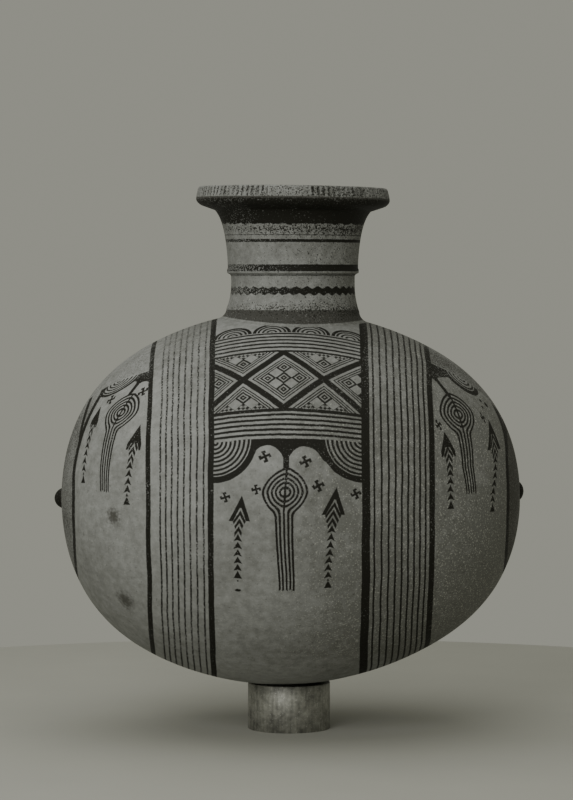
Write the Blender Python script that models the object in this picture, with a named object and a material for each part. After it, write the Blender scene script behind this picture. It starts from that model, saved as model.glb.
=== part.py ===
"""Barrel-shaped pottery jug on a plain metal ring.

The jug is one fired solid: a horizontal barrel with a knob on each end, an upright
neck with a ridge and an out-turned rim, and a strap handle behind the neck. It is
hollow and open at the mouth. Its round belly rests in the top of a metal tube.
The front faces -Y, the barrel lies along X, and the origin is under the ring's centre.
Lengths are in metres and angles in degrees.
"""

import math

import bmesh
import bpy
from mathutils import Matrix, Vector
from mathutils.bvhtree import BVHTree
from mathutils.geometry import interpolate_bezier

# Ring stand
STAND_RADIUS = 0.0328
STAND_HEIGHT = 0.037
STAND_WALL = 0.0026
SEAT_GAP = 0.0003

# Barrel: half an ellipse along X, made fuller towards both ends and towards the left
BODY_RADIUS = 0.149
BODY_HALF_LENGTH = 0.1826
BODY_FULLNESS = 0.163
BODY_LEAN = -0.032
BODY_TILT = 0.9
BODY_WALL = 0.008

# Knobs on the barrel's ends, a little above its axis
LEFT_KNOB_RADIUS = 0.008
LEFT_KNOB_HEIGHT = 0.006
RIGHT_KNOB_RADIUS = 0.0072
RIGHT_KNOB_HEIGHT = 0.0032
KNOB_ROOT = 0.004
KNOB_RISE = 0.002

# Neck and rim: heights are above the barrel's crown
NECK_OFFSET = 0.0031
NECK_WALL = 0.007
WAIST_RADIUS = 0.0492
WAIST_HEIGHT = 0.0185
FOOT_FLARE = 0.0036
FOOT_FILLET = 0.0065
RIDGE_HEIGHT = 0.0309
RIDGE_WIDTH = 0.0055
RIDGE_PROUD = 0.0006
THROAT_RADIUS = 0.0518
THROAT_FLARE = 0.0101
RIM_HEIGHT = 0.0975
RIM_RADIUS = 0.0770
RIM_TOP_RADIUS = 0.0748
RIM_THICKNESS = 0.0105
RIM_UNDERCUT = 0.0081
RIM_SLOPE = 0.75
LIP_WIDTH = 0.0140

# Strap handle behind the neck
HANDLE_WIDTH = 0.028
HANDLE_THICKNESS = 0.012
HANDLE_ROOT = 0.004
HANDLE_RISE = 0.022
HANDLE_REACH = 0.028
HANDLE_FOOT_REACH = 0.050
HANDLE_FOOT_PULL = 0.045

# Facets
BODY_STEPS = 48
BODY_ROWS = 30
HOLLOW_STEPS = 36
HOLLOW_ROWS = 18
NECK_STEPS = 48
BORE_STEPS = 36
KNOB_STEPS = 16
HANDLE_SIDES = 12
HANDLE_STEPS = 14
SEAT_STEPS = 72

CLAY = (0.36, 0.345, 0.29, 1.0)
METAL = (0.30, 0.30, 0.28, 1.0)


def clear_scene():
    """Remove whatever the open file holds."""
    for item in list(bpy.data.objects):
        bpy.data.objects.remove(item, do_unlink=True)


def finish(name, colour, roughness, metallic):
    """A plain Principled finish."""
    made = bpy.data.materials.new(name)
    made.use_nodes = True
    shader = made.node_tree.nodes["Principled BSDF"]
    shader.inputs["Base Color"].default_value = colour
    shader.inputs["Roughness"].default_value = roughness
    shader.inputs["Metallic"].default_value = metallic
    made.diffuse_color = colour
    return made


def add_object(name, shape):
    """Put a bmesh into the scene as a smooth-shaded object."""
    mesh = bpy.data.meshes.new(name)
    shape.to_mesh(mesh)
    shape.free()
    mesh.shade_smooth()
    mesh.set_sharp_from_angle(angle=math.radians(40.0))
    made = bpy.data.objects.new(name, mesh)
    bpy.context.collection.objects.link(made)
    return made


def add_to(target, guide, operation):
    """Join a guide to the target, or cut it out, with an exact Boolean."""
    guide.hide_render = True
    guide.display_type = "WIRE"
    guide.parent = target
    step = target.modifiers.new(guide.name, "BOOLEAN")
    step.operation = operation
    step.solver = "EXACT"
    step.object = guide


def turned(profile, steps):
    """Turn a line of (radius, height) points, from top to bottom, about Z."""
    shape = bmesh.new()
    points = [shape.verts.new((radius, 0.0, height)) for radius, height in profile]
    edges = [shape.edges.new(pair) for pair in zip(points, points[1:])]
    bmesh.ops.spin(
        shape,
        geom=points + edges,
        cent=(0.0, 0.0, 0.0),
        axis=(0.0, 0.0, 1.0),
        angle=math.tau,
        steps=steps,
    )
    bmesh.ops.remove_doubles(shape, verts=shape.verts, dist=0.00001)
    bmesh.ops.recalc_face_normals(shape, faces=shape.faces)
    return shape


def eased(value):
    """Ease from 0 to 1 as value goes from 0 to 1."""
    share = min(max(value, 0.0), 1.0)
    return share * share * (3.0 - 2.0 * share)


def flare(share):
    """Go from 0 to 1, slowly at first and with a quick turn-out at the end."""
    return 0.68 * share ** 2 + 0.32 * share ** 8


def levels(high, low, count):
    """Evenly spaced heights from high down to low, both included."""
    return [high + (low - high) * step / count for step in range(count + 1)]


def barrel(inset, steps, rows):
    """The barrel's skin lying along X, or its hollow when inset is the wall."""
    radius = BODY_RADIUS - inset
    half_length = BODY_HALF_LENGTH - inset
    profile = [(0.0, half_length)]
    for row in range(1, rows):
        angle = math.pi * row / rows
        along = math.cos(angle)
        fullness = 1.0 + BODY_LEAN * along + BODY_FULLNESS * along ** 4
        profile.append((radius * math.sin(angle) * fullness, half_length * along))
    profile.append((0.0, -half_length))
    shape = turned(profile, steps)
    lay_down = Matrix.Rotation(math.radians(90.0 - BODY_TILT), 4, "Y")
    bmesh.ops.transform(shape, matrix=lay_down, verts=shape.verts)
    return shape


def body_offset():
    """How far right of the stand the barrel's middle is, so that its tips are even."""
    return (LEFT_KNOB_HEIGHT - RIGHT_KNOB_HEIGHT) / 2.0


def seat_height(skin):
    """Height of the barrel's middle when its belly rests on the ring's top edges."""
    lowest = 0.0
    for radius in (STAND_RADIUS - STAND_WALL, STAND_RADIUS):
        for step in range(SEAT_STEPS):
            angle = math.tau * step / SEAT_STEPS
            x = radius * math.cos(angle) - body_offset()
            below = Vector((x, radius * math.sin(angle), -1.0))
            touch = skin.ray_cast(below, Vector((0.0, 0.0, 1.0)))[0]
            lowest = min(lowest, touch.z)
    return STAND_HEIGHT + SEAT_GAP - lowest


def throat_top():
    """Height at which the neck turns out into the rim's underside."""
    return RIM_HEIGHT - RIM_THICKNESS - RIM_UNDERCUT


def neck_radius(height):
    """Outer radius of the neck at a height above the crown, without its ridge."""
    if height > RIDGE_HEIGHT:
        share = (height - RIDGE_HEIGHT) / (throat_top() - RIDGE_HEIGHT)
        return THROAT_RADIUS + THROAT_FLARE * flare(share)
    share = max(WAIST_HEIGHT - height, 0.0) / (WAIST_HEIGHT - FOOT_FILLET)
    return WAIST_RADIUS + FOOT_FLARE * share ** 2


def neck_profile():
    """Outer line of rim and neck, from the middle of the mouth into the barrel."""
    edge = RIM_HEIGHT - RIM_THICKNESS
    profile = [(0.0, RIM_HEIGHT), (RIM_TOP_RADIUS, RIM_HEIGHT)]
    profile.append((RIM_RADIUS, edge + 0.2 * RIM_THICKNESS))
    profile.append((RIM_RADIUS, edge))
    profile.append((RIM_TOP_RADIUS, edge - 0.4 * RIM_UNDERCUT))
    half_ridge = RIDGE_WIDTH / 2.0
    for height in levels(throat_top(), RIDGE_HEIGHT + half_ridge, 8):
        profile.append((neck_radius(height), height))
    crest = THROAT_RADIUS + RIDGE_PROUD
    profile.append((crest, RIDGE_HEIGHT + half_ridge / 2.0))
    profile.append((crest, RIDGE_HEIGHT - half_ridge / 2.0))
    profile.append((WAIST_RADIUS, RIDGE_HEIGHT - half_ridge))
    for height in levels(WAIST_HEIGHT, FOOT_FILLET, 3):
        profile.append((neck_radius(height), height))
    foot = neck_radius(FOOT_FILLET)
    for angle in (25.0, 50.0, 72.0):
        out = FOOT_FILLET * (1.0 - math.cos(math.radians(angle)))
        down = FOOT_FILLET * (1.0 - math.sin(math.radians(angle)))
        profile.append((foot + out, down))
    buried = -BODY_WALL / 2.0
    profile.append((profile[-1][0], buried))
    profile.append((0.0, buried))
    return profile


def bore_profile():
    """Inner line of the neck, from above the mouth down into the hollow barrel."""
    mouth = RIM_TOP_RADIUS - LIP_WIDTH
    throat = THROAT_RADIUS - NECK_WALL
    waist = WAIST_RADIUS - NECK_WALL
    above = RIM_HEIGHT + NECK_WALL
    inside = -3.0 * BODY_WALL
    profile = [(0.0, above), (mouth, above)]
    for height in levels(RIM_HEIGHT, RIDGE_HEIGHT, 6):
        share = (height - RIDGE_HEIGHT) / (RIM_HEIGHT - RIDGE_HEIGHT)
        profile.append((throat + (mouth - throat) * flare(share), height))
    profile.append((waist, WAIST_HEIGHT))
    profile.append((waist, inside))
    profile.append((0.0, inside))
    return profile


def drape(shape, skin):
    """Fit a turned neck to the barrel: its foot follows the curved shoulder.

    The rim slopes down a little to the right.
    """
    sideways = NECK_OFFSET - body_offset()
    slope = math.tan(math.radians(RIM_SLOPE))
    for vert in shape.verts:
        height = vert.co.z
        down = eased(1.4 * (WAIST_HEIGHT - height) / WAIST_HEIGHT)
        if down > 0.0:
            above = Vector((vert.co.x + sideways, vert.co.y, 1.0))
            surface = skin.ray_cast(above, Vector((0.0, 0.0, -1.0)))[0]
            vert.co.z -= down * (BODY_RADIUS - surface.z)
        up = eased((height - RIDGE_HEIGHT) / (RIM_HEIGHT - RIDGE_HEIGHT))
        vert.co.z -= up * slope * vert.co.x
    return shape


def knob(side, radius, height):
    """A rounded nipple on one end of the barrel; side is -1 for left, 1 for right."""
    shape = bmesh.new()
    bmesh.ops.create_uvsphere(
        shape, u_segments=KNOB_STEPS, v_segments=KNOB_STEPS // 2, radius=1.0
    )
    long_radius = height + KNOB_ROOT
    across = radius / math.sqrt(1.0 - (KNOB_ROOT / long_radius) ** 2)
    size = Matrix.Diagonal((across, across, long_radius, 1.0))
    lay_down = Matrix.Rotation(math.radians(90.0 - BODY_TILT), 4, "Y")
    out = Matrix.Translation((0.0, 0.0, side * (BODY_HALF_LENGTH - KNOB_ROOT)))
    up = Matrix.Translation((0.0, 0.0, KNOB_RISE))
    bmesh.ops.transform(shape, matrix=up @ lay_down @ out @ size, verts=shape.verts)
    return shape


def handle(skin):
    """A strap from the neck's ridge, out and down to the shoulder behind it."""
    start_y = neck_radius(RIDGE_HEIGHT) - HANDLE_ROOT
    start = Vector((0.0, start_y, RIDGE_HEIGHT))
    foot_y = neck_radius(RIDGE_HEIGHT) + HANDLE_FOOT_REACH
    above = Vector((NECK_OFFSET - body_offset(), foot_y, 1.0))
    surface, normal = skin.ray_cast(above, Vector((0.0, 0.0, -1.0)))[:2]
    foot = Vector((0.0, foot_y, surface.z - BODY_RADIUS)) - HANDLE_ROOT * normal
    leave = start + Vector((0.0, HANDLE_REACH, HANDLE_RISE))
    arrive = foot + HANDLE_FOOT_PULL * Vector((0.0, normal.y, 1.0)).normalized()
    path = interpolate_bezier(start, leave, arrive, foot, HANDLE_STEPS + 1)

    shape = bmesh.new()
    rings = []
    for index, place in enumerate(path):
        before = path[max(index - 1, 0)]
        after = path[min(index + 1, HANDLE_STEPS)]
        outward = (after - before).normalized().cross(Vector((1.0, 0.0, 0.0)))
        ring = []
        for step in range(HANDLE_SIDES):
            angle = math.tau * step / HANDLE_SIDES
            wide = Vector((HANDLE_WIDTH / 2.0 * math.cos(angle), 0.0, 0.0))
            thick = HANDLE_THICKNESS / 2.0 * math.sin(angle) * outward
            ring.append(shape.verts.new(place + wide + thick))
        rings.append(ring)
    for low, high in zip(rings, rings[1:]):
        for step in range(HANDLE_SIDES):
            after = (step + 1) % HANDLE_SIDES
            shape.faces.new((low[step], low[after], high[after], high[step]))
    shape.faces.new(rings[0])
    shape.faces.new(rings[-1])
    bmesh.ops.recalc_face_normals(shape, faces=shape.faces)
    return shape


def make_stand():
    """A short length of metal tube."""
    bore = STAND_RADIUS - STAND_WALL
    profile = [(STAND_RADIUS, STAND_HEIGHT), (STAND_RADIUS, 0.0)]
    profile += [(bore, 0.0), (bore, STAND_HEIGHT), (STAND_RADIUS, STAND_HEIGHT)]
    stand = add_object("stand_ring", turned(profile, NECK_STEPS))
    stand.data.materials.append(finish("stand_metal", METAL, 0.45, 0.8))
    return stand


def make_jug():
    """The barrel with knobs, neck and handle joined on and the inside cut out."""
    body = barrel(0.0, BODY_STEPS, BODY_ROWS)
    skin = BVHTree.FromBMesh(body)
    jug = add_object("jug", body)
    jug.location = (body_offset(), 0.0, seat_height(skin))
    jug.data.materials.append(finish("fired_clay", CLAY, 0.75, 0.0))
    crown = (NECK_OFFSET - body_offset(), 0.0, BODY_RADIUS)

    neck = add_object("neck_guide", drape(turned(neck_profile(), NECK_STEPS), skin))
    neck.location = crown
    add_to(jug, neck, "UNION")
    left = knob(-1, LEFT_KNOB_RADIUS, LEFT_KNOB_HEIGHT)
    add_to(jug, add_object("left_knob_guide", left), "UNION")
    right = knob(1, RIGHT_KNOB_RADIUS, RIGHT_KNOB_HEIGHT)
    add_to(jug, add_object("right_knob_guide", right), "UNION")
    strap = add_object("handle_guide", handle(skin))
    strap.location = crown
    add_to(jug, strap, "UNION")
    hollow = barrel(BODY_WALL, HOLLOW_STEPS, HOLLOW_ROWS)
    add_to(jug, add_object("hollow_cutter", hollow), "DIFFERENCE")
    bore = add_object("bore_cutter", drape(turned(bore_profile(), BORE_STEPS), skin))
    bore.location = crown
    add_to(jug, bore, "DIFFERENCE")
    return jug


def main():
    clear_scene()
    make_stand()
    make_jug()


main()
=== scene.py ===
"""Looks of the barrel-shaped pottery jug and its plain metal ring.

The jug's skin is one closed surface worked out with numpy: barrel, neck, rim, bore and
hollow. Knobs and the strap handle are joined to it. The ornament is drawn by the clay's
material, from distances in millimetres to each painted form.
"""

import functools
import math
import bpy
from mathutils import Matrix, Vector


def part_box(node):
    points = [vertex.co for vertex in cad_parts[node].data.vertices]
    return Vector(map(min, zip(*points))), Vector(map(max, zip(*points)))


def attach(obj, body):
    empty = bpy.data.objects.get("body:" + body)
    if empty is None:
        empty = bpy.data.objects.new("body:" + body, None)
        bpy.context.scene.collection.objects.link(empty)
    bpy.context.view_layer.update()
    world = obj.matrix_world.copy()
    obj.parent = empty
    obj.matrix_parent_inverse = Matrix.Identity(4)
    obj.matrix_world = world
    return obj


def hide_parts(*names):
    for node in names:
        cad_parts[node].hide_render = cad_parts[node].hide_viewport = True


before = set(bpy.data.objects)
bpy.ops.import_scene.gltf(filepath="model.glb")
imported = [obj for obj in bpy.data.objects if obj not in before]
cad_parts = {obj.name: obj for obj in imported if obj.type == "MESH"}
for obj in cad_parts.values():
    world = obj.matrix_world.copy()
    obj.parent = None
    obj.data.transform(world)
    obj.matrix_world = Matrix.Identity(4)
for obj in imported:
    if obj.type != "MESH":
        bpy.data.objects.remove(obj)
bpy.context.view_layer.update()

from types import SimpleNamespace

import bmesh
import bpy
import numpy as np
from bpy.props import FloatProperty, FloatVectorProperty, IntProperty, PointerProperty
from mathutils import Vector

JUG_HIGH = [float(part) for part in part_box("jug")[1]]
RING_HIGH = [float(part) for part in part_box("stand_ring")[1]]
MM = 1000.0
# Radius in mm at which the painter's angles become lengths
SKIN = 149.0
QUARTER = math.pi / 2.0
# Edges sharper than this are shaded sharp
SHARP = math.radians(50.0)
# How finely the pieces are cut
OUTSIDE_ROWS, FILLET_ROWS, NECK_ROWS, BORE_ROWS, HOLLOW_ROWS = 118, 8, 59, 19, 51
KNOB_ROWS, KNOB_COLUMNS, STRAP_ROWS, STRAP_COLUMNS = 28, 40, 49, 40
RING_COLUMNS, FLOOR_COLUMNS = 144, 96

bl_info = {
    "name": "Barrel jug",
    "version": (1, 0, 0),
    "blender": (4, 5, 0),
    "location": "3D View > Sidebar > Barrel jug",
    "description": "Painted barrel-shaped pottery jug on a metal ring",
    "category": "Add Mesh",
}


LENGTH = {"min": 0.0, "unit": "LENGTH", "precision": 4}
ANGLE = {"unit": "ROTATION"}
COLOUR = {"subtype": "COLOR", "size": 3, "min": 0.0, "max": 1.0}


def settings(common, rows, kind=FloatProperty):
    """Properties with common limits, from rows of description and default by name."""
    return {
        key: kind(name=key.replace("_", " ").capitalize(), description=description,
                  default=default, **common)
        for key, (description, default) in rows.items()
    }


class JugSizes(bpy.types.PropertyGroup):
    """Sizes of the barrel, neck, rim, knobs and handle."""

    __annotations__ = settings(LENGTH, {
        "radius": ("Radius of the barrel at its middle", JUG_HIGH[1]),
        "half_length": ("Half the barrel's length without its knobs", 0.1826),
        "wall": ("Thickness of the barrel's wall", 0.008),
        "middle_x": ("How far right of the ring the barrel's middle is", 0.0014),
        "neck_x": ("How far right of the ring the neck's axis is", 0.0031),
        "neck_wall": ("Thickness of the neck's wall", 0.007),
        "waist_radius": ("Radius of the neck below its ridge", 0.0492),
        "waist_height": ("Height of the neck's waist above the crown", 0.0185),
        "foot_flare": ("How much wider the neck is at its foot", 0.0036),
        "foot_fillet": ("Radius of the join of neck and barrel", 0.0065),
        "ridge_height": ("Height of the ridge above the crown", 0.0309),
        "ridge_width": ("Width of the ridge round the neck", 0.0055),
        "ridge_proud": ("How far the ridge stands out", 0.0006),
        "throat_radius": ("Radius of the neck above its ridge", 0.0518),
        "throat_flare": ("How much the neck widens up to the rim", 0.0101),
        "rim_height": ("Height of the rim's top above the crown", 0.0975),
        "rim_radius": ("Radius of the rim's lower edge", 0.0770),
        "rim_top_radius": ("Radius of the rim's upper edge", 0.0748),
        "rim_thickness": ("Height of the rim's face", 0.0105),
        "rim_undercut": ("Height of the rim's sloping underside", 0.0081),
        "lip_width": ("Width of the rim's flat top", 0.0140),
        "unevenness": ("Depth of the hand-made waves in the skin", 0.00018),
        "left_knob_radius": ("Radius of the left knob", 0.008),
        "left_knob_height": ("How far the left knob stands out", 0.006),
        "right_knob_radius": ("Radius of the right knob", 0.0072),
        "right_knob_height": ("How far the right knob stands out", 0.0032),
        "knob_root": ("How deep a knob sits in the barrel", 0.004),
        "knob_rise": ("How far the knobs are above the axis", 0.002),
        "handle_width": ("Width of the strap handle", 0.028),
        "handle_thickness": ("Thickness of the strap handle", 0.012),
        "handle_root": ("How deep the strap's ends sit in the clay", 0.004),
        "handle_rise": ("How far the strap climbs as it leaves the neck", 0.022),
        "handle_reach": ("How far the strap's first bend stands out", 0.028),
        "handle_foot_reach": ("How far behind the neck the strap lands", 0.050),
        "handle_foot_pull": ("How upright the strap is as it lands", 0.045),
    }) | settings({"min": -1.0, "max": 1.0, "precision": 3}, {
        "fullness": ("How much fuller than an ellipse the ends are", 0.163),
        "lean": ("How much fuller the right end is than the left", -0.032),
        "handle_spread": ("How much wider the strap is at its ends", 0.35),
    }) | settings(ANGLE, {
        "tilt": ("How far the right end is raised", math.radians(0.9)),
        "rim_slope": ("How far the rim drops to the right", math.radians(0.75)),
    }) | settings({"min": 48}, {"columns": ("Faces round the skin", 288)}, IntProperty)


class JugColours(bpy.types.PropertyGroup):
    """Colours of the clay, paint and metal."""

    __annotations__ = settings(COLOUR, {
        "clay": ("Greyish buff of the bare clay", (0.358, 0.364, 0.348)),
        "clay_dark": ("Smoke-grey patches of the clay", (0.148, 0.150, 0.134)),
        "soot": ("Small dark specks in the clay", (0.060, 0.058, 0.047)),
        "grit": ("Small pale specks in the clay", (0.600, 0.600, 0.530)),
        "paint": ("Matt brown-black paint", (0.0150, 0.0146, 0.0108)),
        "wash": ("Thin worn paint", (0.050, 0.049, 0.041)),
        "metal": ("Weathered grey metal of the ring", (0.480, 0.480, 0.420)),
        "floor": ("Pale floor", (0.400, 0.400, 0.350)),
    }, FloatVectorProperty) | settings({"min": 0.0, "max": 1.0}, {
        "hook": ("Length of the hooks of the small crosses; 0 leaves them plain", 0.5),
    })


class JugStage(bpy.types.PropertyGroup):
    """The floor, the lights and the camera."""

    __annotations__ = settings(LENGTH, {
        "floor_radius": ("Radius of the pale floor", 0.60),
        "distance": ("How far in front of the ring the camera is", 2.450),
        "eye": ("Height of the camera", 0.362),
    }) | settings({"unit": "LENGTH"}, {
        "aside": ("How far right the camera is", -0.002),
    }) | settings(ANGLE, {
        "pitch": ("How far the camera looks down", math.radians(2.327)),
    }) | settings({"min": 0.0}, {
        "lens": ("Focal length of the camera in mm", 138.4),
        "key": ("Power of the key light in watts", 11.5),
        "fill": ("Power of the fill light in watts", 13.0),
        "sky": ("Strength of the even light from all round", 0.29),
        "backdrop": ("Brightness of the plain backdrop", 0.29),
    })


def sizes():
    """The sizes in use."""
    return bpy.context.scene.jug_sizes


def colours():
    """The colours in use."""
    return bpy.context.scene.jug_colours


def stacked(*parts):
    """Points from their parts, which are spread to one shape."""
    return np.stack(np.broadcast_arrays(*parts), axis=-1)


def eased(value):
    """Ease from 0 to 1 as value goes from 0 to 1."""
    part = np.clip(value, 0.0, 1.0)
    return part * part * (3.0 - 2.0 * part)


def circle(count):
    """Even turns about an axis, in radians."""
    return np.linspace(0.0, math.tau, count, endpoint=False)


def along_line(points):
    """Length along a line of points up to each of them."""
    return np.concatenate([[0.0], np.cumsum(np.linalg.norm(np.diff(points, axis=0), axis=-1))])


def flare(part):
    """Go from 0 to 1, slowly at first and with a quick turn-out at the end."""
    return 0.68 * part ** 2 + 0.32 * part ** 8


def middle():
    """The barrel's middle: its crown is as far below the rim's top as the neck is high."""
    s = sizes()
    lowered = s.rim_height + math.tan(s.rim_slope) * s.rim_top_radius
    return np.array([s.middle_x, 0.0, JUG_HIGH[2] - lowered - s.radius])


def neck_offset():
    """How far right of the barrel's middle the neck's axis is."""
    return sizes().neck_x - sizes().middle_x


def tilted(x, z, way=1.0):
    """Turn x and z by the barrel's tilt, or back with way -1."""
    turn = way * sizes().tilt
    return x * math.cos(turn) - z * math.sin(turn), x * math.sin(turn) + z * math.cos(turn)


def fuller(part):
    """How much fuller than an ellipse the barrel is at a share of its half length."""
    return 1.0 + sizes().lean * part + sizes().fullness * part ** 4


def barrel_gap(points, inset):
    """How far points are outside the barrel's skin; negative inside.

    With u the share of the half length along the tilted axis, the skin's radius is
    radius * sqrt(1 - u^2) * (1 + lean * u + fullness * u^4). A wall is taken off both sizes.
    """
    s = sizes()
    along, upward = tilted(points[..., 0], points[..., 2], -1.0)
    part = np.clip(along / (s.half_length - inset), -1.0, 1.0)
    skin = (s.radius - inset) * np.sqrt(1.0 - part ** 2) * fuller(part)
    return np.hypot(points[..., 1], upward) - skin


def barrel_reach(start, directions, inset):
    """Distances from start at which rays leave the barrel, found by halving."""
    near = np.zeros(directions.shape[:-1])
    far = np.full(directions.shape[:-1], 2.0 * sizes().half_length)
    for _ in range(44):
        half = (near + far) / 2.0
        outside = barrel_gap(start + directions * half[..., None], inset) > 0.0
        far = np.where(outside, half, far)
        near = np.where(outside, near, half)
    return half


def barrel_top(x, y, inset=0.0):
    """Height of the barrel's skin over the points x, y from its middle."""
    above = stacked(x, y, 0.0)
    return barrel_reach(above, np.broadcast_to([0.0, 0.0, 1.0], above.shape), inset)


def waves(points):
    """Slow waves of a hand-made skin, as a share from -1 to 1."""
    x, y, z = (points[..., axis] * 40.0 for axis in range(3))
    slow = np.sin(1.3 * x + 0.7 * y) * np.sin(1.1 * z + 0.4 * x + 1.0)
    quick = np.sin(3.1 * z + 1.7 * y + 2.0) * np.sin(2.3 * x - 1.9 * z)
    return 0.7 * slow + 0.3 * quick


def shell_of_barrel(turns, rise, inset):
    """Grid of the barrel's skin by rays from the foot of the neck's axis.

    Column angle t goes round Z and row share r goes from straight down to the ring of
    points that ends at elevation rise(t). A point is start + reach * direction.
    """
    start = np.array([neck_offset(), 0.0, 0.0])
    flat = np.cos(rise)
    directions = stacked(flat * np.cos(turns), flat * np.sin(turns), np.sin(rise))
    return start + directions * barrel_reach(start, directions, inset)[..., None]


def neck_radius(height):
    """Outer radius of the neck: a flaring throat, a rounded ridge, a waist and a foot."""
    s = sizes()
    top = s.rim_height - s.rim_thickness - s.rim_undercut
    part = np.clip((height - s.ridge_height) / (top - s.ridge_height), 0.0, 1.0)
    throat = s.throat_radius + s.throat_flare * flare(part)
    low = np.clip((s.waist_height - height) / (s.waist_height - s.foot_fillet), 0.0, 1.0)
    waist = s.waist_radius + s.foot_flare * low ** 2
    half = s.ridge_width / 2.0
    slope = 0.45 * half
    step = eased((height - (s.ridge_height - half)) / slope)
    crest = eased((s.ridge_height + half - height) / slope)
    return waist + step * (throat - waist) + step * crest * s.ridge_proud


def rounded(corners, spacing, passes):
    """An outline through corners, stepped evenly and softened by averaging neighbours."""
    corners = np.array(corners)
    along = along_line(corners)
    places = np.linspace(0.0, along[-1], max(int(along[-1] / spacing), 2) + 1)
    line = stacked(*(np.interp(places, along, corners[:, axis]) for axis in (0, 1)))
    for _ in range(passes):
        line[1:-1] = (line[:-2] + 2.0 * line[1:-1] + line[2:]) / 4.0
    return line


def neck_line():
    """Outline of neck, rim, lip and bore as (radius, height), from foot to hollow."""
    s = sizes()
    angles = np.linspace(QUARTER, 0.0, FILLET_ROWS + 1)[1:]
    foot = neck_radius(np.array(s.foot_fillet)) + s.foot_fillet * (1.0 - np.cos(angles))
    fillet = stacked(foot, s.foot_fillet * (1.0 - np.sin(angles)))
    edge = s.rim_height - s.rim_thickness
    heights = np.linspace(s.foot_fillet, edge - s.rim_undercut, NECK_ROWS + 1)[1:]
    neck = stacked(neck_radius(heights), heights)
    mouth = s.rim_top_radius - s.lip_width
    throat = s.throat_radius - s.neck_wall
    # The softened rim ends a little way down the bore
    inner = 0.94
    shares = np.linspace(inner, 0.0, BORE_ROWS + 1)
    bore = stacked(
        throat + (mouth - throat) * flare(shares),
        s.ridge_height + shares * (s.rim_height - s.ridge_height),
    )
    rim = rounded(
        [
            neck[-1],
            (s.rim_top_radius - 0.0010, edge - 0.5 * s.rim_undercut),
            (s.rim_radius, edge - 0.1 * s.rim_undercut),
            (s.rim_radius, edge + 0.2 * s.rim_thickness),
            (s.rim_top_radius + 0.0002, s.rim_height),
            (mouth, s.rim_height),
            bore[0],
        ],
        spacing=0.0010,
        passes=3,
    )[1:]
    waist = s.waist_radius - s.neck_wall
    low = stacked(waist, s.waist_height * np.array([1.0, 0.5, 0.0]))
    outer_rows = len(fillet) + len(neck) + len(rim)
    return np.concatenate([fillet, neck, rim, bore[1:], low]), outer_rows


def neck_grid(line, turns):
    """The neck's outline turned about Z and draped on the barrel's shoulder.

    A point at radius r and height h goes to (r cos t, r sin t, h). Below the waist it
    sinks with the barrel's skin under it, and the rim drops a little to the right.
    """
    s = sizes()
    radius, height = line[:, :1], line[:, 1:]
    x = radius * np.cos(turns)
    y = radius * np.sin(turns)
    offset = neck_offset()
    sunk = s.radius - barrel_top(x + offset, y)
    down = eased(1.4 * (s.waist_height - height) / s.waist_height)
    up = eased((height - s.ridge_height) / (s.rim_height - s.ridge_height))
    z = s.radius + height - down * sunk - up * math.tan(s.rim_slope) * x
    return stacked(x + offset, y, z)


def closed_grid(rows, low, high):
    """Points of rings closed by a pole at each end, with their quads and both fans."""
    count, columns = rows.shape[:2]
    points = np.concatenate([low[None, :], rows.reshape(-1, 3), high[None, :]])
    ring = np.arange(columns)
    after = (ring + 1) % columns
    base = 1 + columns * np.arange(count - 1)[:, None]
    above = base + columns
    quads = stacked(base + ring, base + after, above + after, above + ring).reshape(-1, 4)
    last = 1 + columns * (count - 1)
    first_fan = stacked(0, 1 + after, 1 + ring)
    last_fan = stacked(len(points) - 1, last + ring, last + after)
    return points, (quads, first_fan, last_fan)


def mesh_object(name, points, faces):
    """A mesh object at the origin from points and face lists, shaded smooth."""
    mesh = bpy.data.meshes.new(name)
    mesh.from_pydata(points.tolist(), [], [face for part in faces for face in part.tolist()])
    mesh.update()
    mesh.shade_smooth()
    made = bpy.data.objects.new(name, mesh)
    bpy.context.collection.objects.link(made)
    return made


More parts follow.
